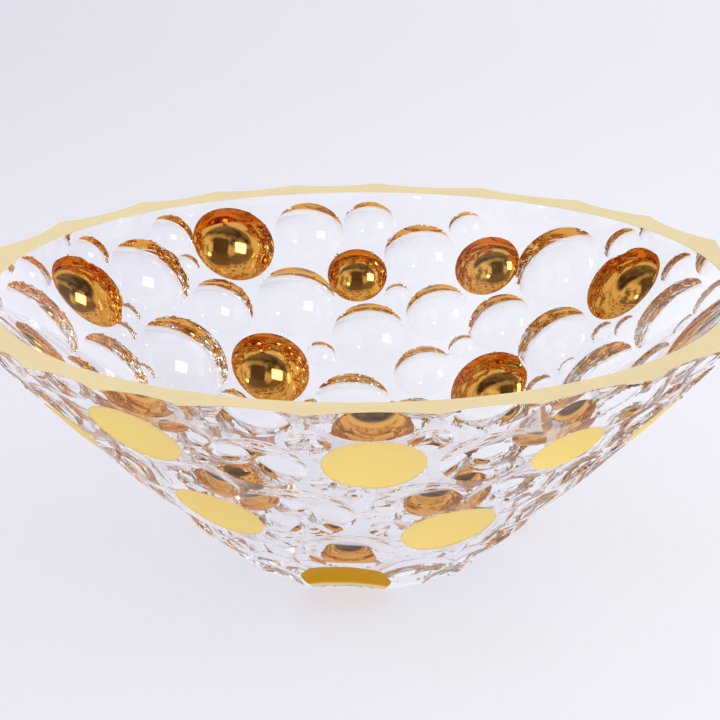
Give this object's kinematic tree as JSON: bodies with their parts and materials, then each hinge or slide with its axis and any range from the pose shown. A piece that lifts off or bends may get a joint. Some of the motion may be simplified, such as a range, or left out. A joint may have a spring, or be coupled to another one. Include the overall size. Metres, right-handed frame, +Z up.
{
  "type": "art glass bowl",
  "caption": "Wide conical clear glass bowl with round lens cuts around the outside, gilded rim and gilded lenses.",
  "frame": {"origin": "centre of the flat foot, on the surface the bowl stands on", "axes": "+Z up along the bowl's axis, -Y towards the front"},
  "size_m": [0.2584, 0.2589, 0.0892],
  "materials": {
    "crystal_glass": "clear, fire polished",
    "lens_gilding": "matte pale gold on the air side, amber mirror through the glass",
    "rim_gilding": "matte pale gold"
  },
  "bodies": {
    "root": {"glass_bowl": "crystal_glass", "rim_gilding": "rim_gilding", "gilt_lens_upper_1_a": "lens_gilding", "gilt_lens_upper_2_a": "lens_gilding", "gilt_lens_upper_3_a": "lens_gilding", "gilt_lens_upper_4_a": "lens_gilding", "gilt_lens_middle_1_a": "lens_gilding", "gilt_lens_middle_2_a": "lens_gilding", "gilt_lens_lower_1_a": "lens_gilding", "gilt_lens_upper_1_b": "lens_gilding", "gilt_lens_upper_2_b": "lens_gilding", "gilt_lens_upper_3_b": "lens_gilding", "gilt_lens_upper_4_b": "lens_gilding", "gilt_lens_middle_1_b": "lens_gilding", "gilt_lens_middle_2_b": "lens_gilding", "gilt_lens_lower_1_b": "lens_gilding", "gilt_lens_upper_1_c": "lens_gilding", "gilt_lens_upper_2_c": "lens_gilding", "gilt_lens_upper_3_c": "lens_gilding", "gilt_lens_upper_4_c": "lens_gilding", "gilt_lens_middle_1_c": "lens_gilding", "gilt_lens_middle_2_c": "lens_gilding", "gilt_lens_lower_1_c": "lens_gilding"}
  },
  "joints": []
}
